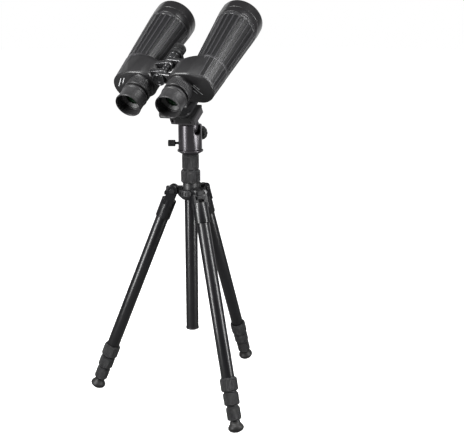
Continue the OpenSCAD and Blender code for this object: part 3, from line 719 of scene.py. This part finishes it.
def make_objective(side):
    place = lens_frame(side)
    front = lathe(side + "_crown_lens", place, lens_profile(LENS_R, 110.7, 115, 1.6, 2.6), LENS, 128)
    back = lathe(side + "_flint_lens", place, lens_profile(LENS_R, 105.4, 110.6, 0, -1.6), LENS, 128)
    for piece in (front, back):
        stands_for(piece, side + "_half", "lens_glass", side + "_objective")


def knurl(count, depth, y0, y1, r0):
    """Relief of rounded ribs round a grip."""
    def relief(angle, r, y):
        if r < r0 or not y0 <= y <= y1:
            return 0
        fade = min(1, (y - y0) / 1.2, (y1 - y) / 1.2)
        return -depth * max(0, fade) * (0.5 - 0.5 * math.cos(angle * count)) ** 0.7
    return relief


def ribbed(profile, y0, y1, r, step=1.2):
    """Profile with extra points along its straight outer grip, so that ribs can fade at its ends."""
    made = []
    for point in profile:
        made.append(point)
        if point[1] == y0 and point[0] == r:
            count = int(abs(y1 - y0) / step)
            made += [(r, y0 + (y1 - y0) * k / count, 0) for k in range(1, count)]
    return made


def make_focus_ring(side):
    place = eye_frame(side)
    counterbore = SLEEVE_R + GAP
    back, front = -104, -86.5
    grip = [back + 2.4, front - 2.4]
    profile = [(16.15, front), (RING_R - 0.3, front, 0.7), (RING_R - 0.1, front - 1.6, 0.5),
               (RING_R, grip[1]), (RING_R, grip[0]), (RING_R - 0.1, back + 1.4, 0.4),
               (RING_R - 0.8, back, 0.6), (counterbore, back, 0.3), (counterbore, front - 7),
               (16.15, front - 7)]
    made = lathe(side + "_focus_grip", place, ribbed(profile, grip[1], grip[0], RING_R), RING_GRIP, 288,
                 relief=knurl(48, 0.55, grip[0], grip[1], RING_R - 0.01))
    stands_for(made, side + "_focus_ring", "eyecup_rubber", side + "_focus_ring")


def make_ocular(side):
    place = eye_frame(side)
    profile = [(14, -74), (16.1, -74), (16.1, -98), (SLEEVE_R, -98), (SLEEVE_R, -122, 0.3),
               (SLEEVE_R - 2, -122, 0.3), (16.5, -119.5, 0.6), (14.6, -117.6, 0.4), (14, -117)]
    body = side + "_eyepiece"
    tube = lathe(side + "_ocular_tube", place, profile, SHADE, 96)
    # the inner cone round the eye lens takes the lighter grey: a painted highlight
    recolour(tube, place, EYE_RIM_HIGHLIGHT, lambda r, y: y < -116.5 and r < SLEEVE_R - 2.1)
    stands_for(tube, body, "shade_coat", side + "_ocular_barrel")
    eye = lathe(side + "_eye_lens", place, lens_profile(13.9, -115, -111, 2.5, 0.5), EYE_LENS, 96)
    field = lathe(side + "_field_lens", place, lens_profile(13.9, -82, -78, 0.5, 1.5), EYE_LENS, 96)
    for piece in (eye, field):
        stands_for(piece, body, "lens_glass", side + "_eye_lenses")
    cup = [(SLEEVE_R + 0.1, -109), (EYECUP_R - 0.6, -109, 0.8), (EYECUP_R + 0.2, -111.2, 0.6),
           (EYECUP_R - 0.1, -113, 0.5), (EYECUP_R - 1.1, -114.4, 0.8), (EYECUP_R - 1.0, -130, 6),
           (EYECUP_R, -137.4, 1.2), (EYECUP_R - 0.6, -139.4, 0.7), (EYECUP_R - 1.8, -139.2, 0.6),
           (EYECUP_R - 2.6, -137.4, 0.8), (SLEEVE_R + 0.4, -132.4, 3), (SLEEVE_R + 0.4, -123.2, 0.5),
           (SLEEVE_R - 1.8, -123.2, 0.3), (SLEEVE_R - 1.8, -122.2, 0.1), (SLEEVE_R + 0.1, -122.2, 0.1)]
    stands_for(lathe(side + "_rubber_cup", place, cup, EYECUP_RUBBER, 96), body, "eyecup_rubber",
               side + "_eyecup")


for half in SIDES:
    make_housing(half)
    make_cover(half)
    make_barrel(half)
    make_armour(half)
    make_skirt(half)
    make_shade(half)
    make_objective(half)
    make_focus_ring(half)
    make_ocular(half)


# ---- print ----

def make_strokes(side, strokes, width=1.3):
    """Short painted lines on the back of the cover, given as (x, z) ends in the hinge frame."""
    for n, (a, b) in enumerate(strokes):
        a, b = Vector(a), Vector(b)
        along = (b - a).normalized() * (width / 2)
        across = Vector((-along.y, along.x))
        outline = []
        for end, sign in ((a, -1), (b, 1)):
            for k in range(9):
                t = math.pi * (k / 8 - 0.5)
                outline.append(end + sign * (along * math.cos(t) + across * math.sin(t)))
        made = plate(f"{side}_print_{n}", HINGE, outline, COVER_BACK - 0.05, COVER_BACK + 0.3, PRINT, 0.02)
        stands_for(made, side + "_half", "housing_rubber")


make_strokes("right", [((57, -5.5), (77, -30)), ((65, -9), (74, -19.5)), ((57, -17), (68, -28.5))], 0.9)
make_strokes("left", [((-79, -1), (-90, -18)), ((-72, 0), (-79, -11))])


# ---- hinge and bracket ----

SHAFT_BACK, BOSS_BACK, BOSS_FRONT = -79.5, -26.4, -9.2
CAP_R, CAP_BACK, CAP_FRONT = 12, -83.5, -79.6
STUD_R = 3.1


def make_hinge():
    shaft = [(0, SHAFT_BACK), (SHAFT_R, SHAFT_BACK), (SHAFT_R, -58.6, 0.1), (SHAFT_R - 0.5, -58.2, 0.1),
             (SHAFT_R - 0.5, -57.4, 0.1), (SHAFT_R, -57, 0.1), (SHAFT_R, -49, 0.1),
             (SHAFT_R - 0.5, -48.6, 0.1), (SHAFT_R - 0.5, -47.8, 0.1), (SHAFT_R, -47.4, 0.1),
             (SHAFT_R, BOSS_BACK), (LUG_R - 0.2, BOSS_BACK, 0.5), (LUG_R, -24, 0.3), (LUG_R, -15.4, 0.2),
             (LUG_R - 0.7, -14.8, 0.2), (LUG_R - 0.7, -13.8, 0.2), (LUG_R, -13.2, 0.2),
             (LUG_R, BOSS_FRONT, 0.9), (STUD_R + 0.2, BOSS_FRONT, 0.4), (STUD_R + 0.2, -22), (0, -22)]
    stands_for(lathe("hinge_spindle", HINGE, shaft, GLOSS, 96), "ball", "hinge_metal", "hinge_shaft")
    cap = [(0, -81.9), (4.2, -81.9, 0.2), (4.5, -82.4, 0.2), (CAP_R - 2.5, -82.4, 0.3),
           (CAP_R - 1.9, CAP_BACK, 0.4), (CAP_R - 0.7, CAP_BACK, 0.5), (CAP_R, CAP_BACK + 1, 0.5),
           (CAP_R, CAP_FRONT, 0.3), (0, CAP_FRONT)]
    stands_for(lathe("hinge_end_cap", HINGE, cap, GLOSS, 96), "ball", "hinge_metal", "hinge_cap")


def make_bracket_knob():
    r = 12.4
    profile = [(0, -19), (STUD_R, -19, 0.5), (STUD_R, -2.7), (r - 1.4, -2.7, 0.8), (r, -1.2, 0.6),
               (r, -0.6, 0), (r, 13, 0), (r, 14, 0.6), (r - 1.2, 15.4, 0.9), (8.6, 15.4, 0.5),
               (8, 14.6, 0.4), (0, 14.6)]
    made = lathe("bracket_grip", HINGE, ribbed(profile, -0.6, 13, r), KNOB_GRIP, 288,
                 relief=knurl(36, 0.75, -0.6, 13, r - 0.01))
    stands_for(made, "bracket_knob", "knob_plastic", "bracket_knob")


make_hinge()
make_bracket_knob()
dress(["hinge_washers"], STEEL)
dress(["left_prisms", "right_prisms"], PRISM)
dress(["bracket"], CASTING, 0.9)


# ---- ball head ----

def turning_frame(joint):
    """Frame on a joint's axis, with Y along it."""
    axis = Vector(joints[joint]["axis"])
    across = X if abs(axis.x) < 0.9 else Z
    return placed(joints[joint]["pos_m"], axis, across)


def lobes(count, depth, y0, y1, r0):
    """Relief of deep finger grooves with round lands between."""
    def relief(angle, r, y):
        if r < r0 or not y0 <= y <= y1:
            return 0
        fade = min(1, (y - y0) / 2, (y1 - y) / 2)
        return -depth * fade * max(0, math.cos(angle * count)) ** 2.5
    return relief


def make_head_knobs():
    main = [(0, 15), (3, 15), (3, 24.5), (12, 24.5, 1), (13.5, 26.4, 1.4), (13.5, 27, 0), (13.5, 33, 0),
            (12.2, 35.4, 1.6), (8.6, 36.6, 0.8), (8, 36, 0.4), (0, 36)]
    made = lathe("main_lock_grip", turning_frame("main_lock_turn"), ribbed(main, 27, 33, 13.5), KNOB_GRIP,
                 240, relief=lobes(10, 1.7, 25, 36.5, 8.8))
    stands_for(made, "main_lock_knob", "knob_plastic", "main_lock_knob")
    pan = [(0, 8.6), (2.5, 8.6, 0.4), (2.5, 28.5), (5.6, 28.5, 0.5), (6.25, 29.4, 0.4), (6.25, 30.2, 0),
           (6.25, 40.8, 0), (6.25, 41.6, 0.4), (5.6, 42.5, 0.5), (3.8, 42.5, 0.4), (3.4, 42, 0.3), (0, 42)]
    made = lathe("pan_lock_grip", turning_frame("pan_lock_turn"), ribbed(pan, 30.2, 40.8, 6.25), KNOB_GRIP,
                 192, relief=knurl(24, 0.5, 30.2, 40.8, 6.24))
    stands_for(made, "pan_lock_knob", "knob_plastic", "pan_lock_knob")
    clamp = [(0, 17.5), (1.9, 17.5, 0.3), (1.9, 27.3), (4, 27.3, 0.4), (4, 31.5), (7.2, 31.5, 0.6),
             (8, 32.6, 0.5), (8, 33.4, 0), (8, 54.2, 0), (8, 55, 0.5), (7.2, 56, 0.7), (5.2, 56, 0.4),
             (4.8, 55.4, 0.3), (0, 55.4)]
    made = lathe("clamp_grip", turning_frame("clamp_knob_turn"), ribbed(clamp, 33.4, 54.2, 8), KNOB_GRIP,
                 240, relief=knurl(20, 0.8, 33.4, 54.2, 7.99))
    stands_for(made, "clamp_knob", "knob_plastic", "clamp_knob")


make_head_knobs()
dress(["quick_plate"], KNOB_GRIP, 0.3)
dress(["head_base", "head_body", "head_ball", "clamp_jaw"], HEAD_METAL, 0.4)


# ---- column ----

COLUMN_R = 12.45
NECK_R = 15.4
LOWER_COLLAR, UPPER_COLLAR = (436.7, 461.4), (463.4, 491.9)


def make_column_collar(name, ends, r, low_bore, step, high_bore, bevel):
    low, high = ends
    y0, y1 = low + 3.4, high - 3.4
    profile = [(low_bore, low), (r - bevel, low, 0.6), (r, low + 2.5, 0.8), (r, y0, 0), (r, y1, 0),
               (r, high - 2.5, 0.8), (r - bevel, high, 0.6), (high_bore, high, 0.3), (high_bore, step),
               (low_bore, step)]
    made = lathe(name + "_grip", UPRIGHT, ribbed(profile, y0, y1, r, 1.6), COLLAR_GRIP, 288,
                 relief=knurl(44, 0.4, y0, y1, r - 0.01))
    stands_for(made, name, "grip_rubber", name)


make_column_collar("column_lower_collar", LOWER_COLLAR, 18.8, NECK_R + GAP, LOWER_COLLAR[0] + 18.3,
                   COLUMN_R + GAP, 2)
make_column_collar("column_upper_collar", UPPER_COLLAR, 16.4, COLUMN_R + GAP, UPPER_COLLAR[0] + 19,
                   COLUMN_R - 1.2, 0.8)
dress(["column_tube", "column_inner_tube"], TUBE)
dress(["column_end_cap"], CASTING, 0.5)


# ---- legs ----

TUBE_WALL = 1.2
TUBE_RS = [12.6 - 1.5 * k for k in range(4)]
TUBE_TOPS = (24, 76, 86, 96)
TUBE_ENDS = (371.5, 397.5, 425.5, 442.5)
COLLAR_ENDS = (350.5, 378, 404, 431.5)
COLLAR_RS = (16.5, 15, 13.5)
FOOT_CENTRE, FOOT_R, FOOT_HALF, FOOT_NECK = 443.5, 15, 9, 10.2


def make_twist_collar(n, k, upper_bore):
    """Collar k of a leg: ribbed rubber between bevelled, rounded ends."""
    start, end, r, bore = COLLAR_ENDS[k] + GAP, COLLAR_ENDS[k + 1], COLLAR_RS[k], TUBE_RS[k + 1] + GAP
    step = TUBE_ENDS[k] + GAP
    y0, y1 = start + 4, end - 4.6
    rim = TUBE_RS[k + 1] + 0.9
    profile = [(bore, end), (rim, end, 0.3), (rim, end - 1.1, 0.4), (r - 0.6, end - 3.4, 1.6), (r, y1, 0),
               (r, y0, 0), (r - 0.3, start + 2.4, 1.6), (r - 1.9, start, 0.8), (upper_bore, start, 0.3),
               (upper_bore, step), (bore, step)]
    made = lathe(f"leg_{n}_grip_{k + 1}", leg_frame(n), ribbed(profile, y1, y0, r, 1.6), COLLAR_GRIP, 240,
                 relief=knurl(36, 0.45, y0, y1, r - 0.01))
    return recolour(made, leg_frame(n), GLOSS, lambda r, y: y > end - 1.8)


def make_sliding_tube(n, k):
    r = TUBE_RS[k]
    profile = [(r - TUBE_WALL, TUBE_TOPS[k]), (r, TUBE_TOPS[k], 0.3), (r, TUBE_ENDS[k], 0.3),
               (r - TUBE_WALL, TUBE_ENDS[k], 0.3)]
    return lathe(f"leg_{n}_tube_{k + 1}", leg_frame(n), profile, TUBE, 64)


def make_foot(n):
    """Round rubber foot, pressed flat where it stands on the floor."""
    socket = TUBE_RS[3] + 0.1
    profile = [(0, FOOT_CENTRE + FOOT_HALF)]
    for k in range(1, 19):
        a = math.pi / 2 * k / 18
        profile.append((FOOT_R * math.sin(a), FOOT_CENTRE + FOOT_HALF * math.cos(a), 0))
    profile += [(FOOT_R - 0.8, FOOT_CENTRE - 3.2, 1.5), (FOOT_NECK + 1.6, FOOT_CENTRE - 6.4, 2),
                (FOOT_NECK, FOOT_CENTRE - 9, 1), (FOOT_NECK, FOOT_CENTRE - 11.7, 0.6),
                (socket, FOOT_CENTRE - 11.7), (socket, FOOT_CENTRE - 0.9), (0, FOOT_CENTRE - 0.9)]
    made = lathe(f"leg_{n}_foot", leg_frame(n), profile, FOOT_RUBBER, 96)
    for vertex in made.data.vertices:
        vertex.co.z = max(vertex.co.z, 0)
    return made


def make_angle_stop(n):
    """Pull tab under the lug's nose, with finger ribs on its plate."""
    fold = joints[f"leg_{n}_fold"]
    place = placed(fold["pos_m"], fold["axis"], joints[f"leg_{n}_stop_pull"]["axis"])
    up = 1 if (place.to_3x3() @ Z).z > 0 else -1
    tab = [(8.5, -7), (14.2, -7), (14.2, -1.8), (8.5, -1.8)]
    made = plate(f"leg_{n}_stop_tab", place, [(x, z * up) for x, z in tab], -5.7, 5.7, CASTING, 0.4)
    pull = [(13.8, -9), (15.6, -9), (16.4, -8), (16, -6.6), (16.4, -5.4), (16, -4.2), (16.4, -3),
            (15.8, -1.8), (13.8, -1.8)]
    combine(made, plate("pull", place, [(x, z * up) for x, z in pull], -8.2, 8.2, CASTING, 0.4), "UNION")
    stands_for(made, f"leg_{n}_stop", "casting", f"leg_{n}_stop")


def make_leg(n):
    body = f"leg_{n}"
    stands_for(make_twist_collar(n, 0, TUBE_RS[0] + GAP), body + "_collar", "grip_rubber", body + "_collar")
    for k in (1, 2):
        section = f"{body}_section_{k + 1}"
        for piece in (make_sliding_tube(n, k), make_twist_collar(n, k, TUBE_RS[k] + 0.1)):
            stands_for(piece, section, "tube", section)
    for piece in (make_sliding_tube(n, 3), make_foot(n)):
        stands_for(piece, body + "_section_4", "tube", body + "_section_4")
    make_angle_stop(n)
    dress([body + "_upper"], TUBE, 0.6)


for leg in LEGS:
    make_leg(leg)
dress(["leg_hinge_bolts"], GLOSS, 0.5)
dress(["spider"], CASTING, 0.6)


# ---- camera, lights and floor ----

CAMERA_TURN, CAMERA_DOWN = 24.88, 13.72
CAMERA_BACK, CAMERA_RIGHT, CAMERA_HIGH = 1.545, 0.080, 0.7432
LENS_LENGTH = 62.95
WORLD_LIGHT, FLOOR_TONE, FLOOR_R = 0.07, 0.15, 20000


def make_camera():
    turn = math.radians(CAMERA_TURN)
    ahead = Vector((-math.sin(turn), math.cos(turn), 0))
    right = Vector((math.cos(turn), math.sin(turn), 0))
    data = bpy.data.cameras.new("camera")
    data.sensor_width = 36
    data.lens = LENS_LENGTH
    made = bpy.data.objects.new("camera", data)
    made.location = COLUMN_FOOT - ahead * CAMERA_BACK + right * CAMERA_RIGHT + Z * CAMERA_HIGH
    made.rotation_euler = (math.radians(90 - CAMERA_DOWN), 0, turn)
    bpy.context.scene.collection.objects.link(made)
    bpy.context.scene.camera = made


def softbox(name, bearing, distance, height, width, tall, watts, aim=0.5):
    """Area light at a bearing clockwise from the camera's side, aimed at the object."""
    turn = math.radians(CAMERA_TURN - 90 - bearing)
    data = bpy.data.lights.new(name, "AREA")
    data.shape = "RECTANGLE"
    data.size, data.size_y, data.energy = width, tall, watts
    made = bpy.data.objects.new(name, data)
    made.location = COLUMN_FOOT + Vector((math.cos(turn), math.sin(turn), 0)) * distance + Z * height
    aimed = COLUMN_FOOT + Z * aim - made.location
    made.rotation_euler = aimed.to_track_quat("-Z", "Y").to_euler()
    bpy.context.scene.collection.objects.link(made)


def make_floor():
    """Floor that looks plain white, and is dark in reflections as in a studio lit by strips."""
    pale = (0.8, 0.8, 0.8)
    mat = material("floor", pale, 0.7, specular=0.0)
    shader = shader_of(mat)
    seen = node(mat, "ShaderNodeLightPath").outputs["Is Camera Ray"]
    link(mat, ramp(mat, seen, [(0, (FLOOR_TONE,) * 3), (1, pale)]), shader.inputs["Base Color"])
    shader.inputs["Emission Color"].default_value = (1, 1, 1, 1)
    link(mat, seen, shader.inputs["Emission Strength"])
    bm = bmesh.new()
    bmesh.ops.create_circle(bm, cap_ends=True, segments=128, radius=FLOOR_R)
    finished("floor", bm, Matrix.Translation(COLUMN_FOOT), mat)


def make_world():
    """Soft even light, with plain white behind the object."""
    world = bpy.data.worlds.new("studio")
    bpy.context.scene.world = world
    world.use_nodes = True
    nodes, links = world.node_tree.nodes, world.node_tree.links
    back = nodes["Background"]
    back.inputs["Color"].default_value = (1, 1, 1, 1)
    path = nodes.new("ShaderNodeLightPath")
    level = nodes.new("ShaderNodeMapRange")
    level.inputs["To Min"].default_value = WORLD_LIGHT
    level.inputs["To Max"].default_value = 1.0
    links.new(path.outputs["Is Camera Ray"], level.inputs["Value"])
    links.new(level.outputs["Result"], back.inputs["Strength"])


make_camera()
make_floor()
make_world()
softbox("left_strip", 52, 1.0, 0.85, 0.26, 2.0, 32)
softbox("right_strip", -66, 1.0, 0.85, 0.22, 2.0, 24)
softbox("top_box", 30, 0.8, 2.1, 1.0, 1.0, 14)
softbox("left_back_box", 150, 1.8, 0.9, 1.2, 1.8, 5)
softbox("right_back_box", -150, 1.8, 0.9, 1.2, 1.8, 5)
bpy.context.scene.view_settings.view_transform = "Standard"
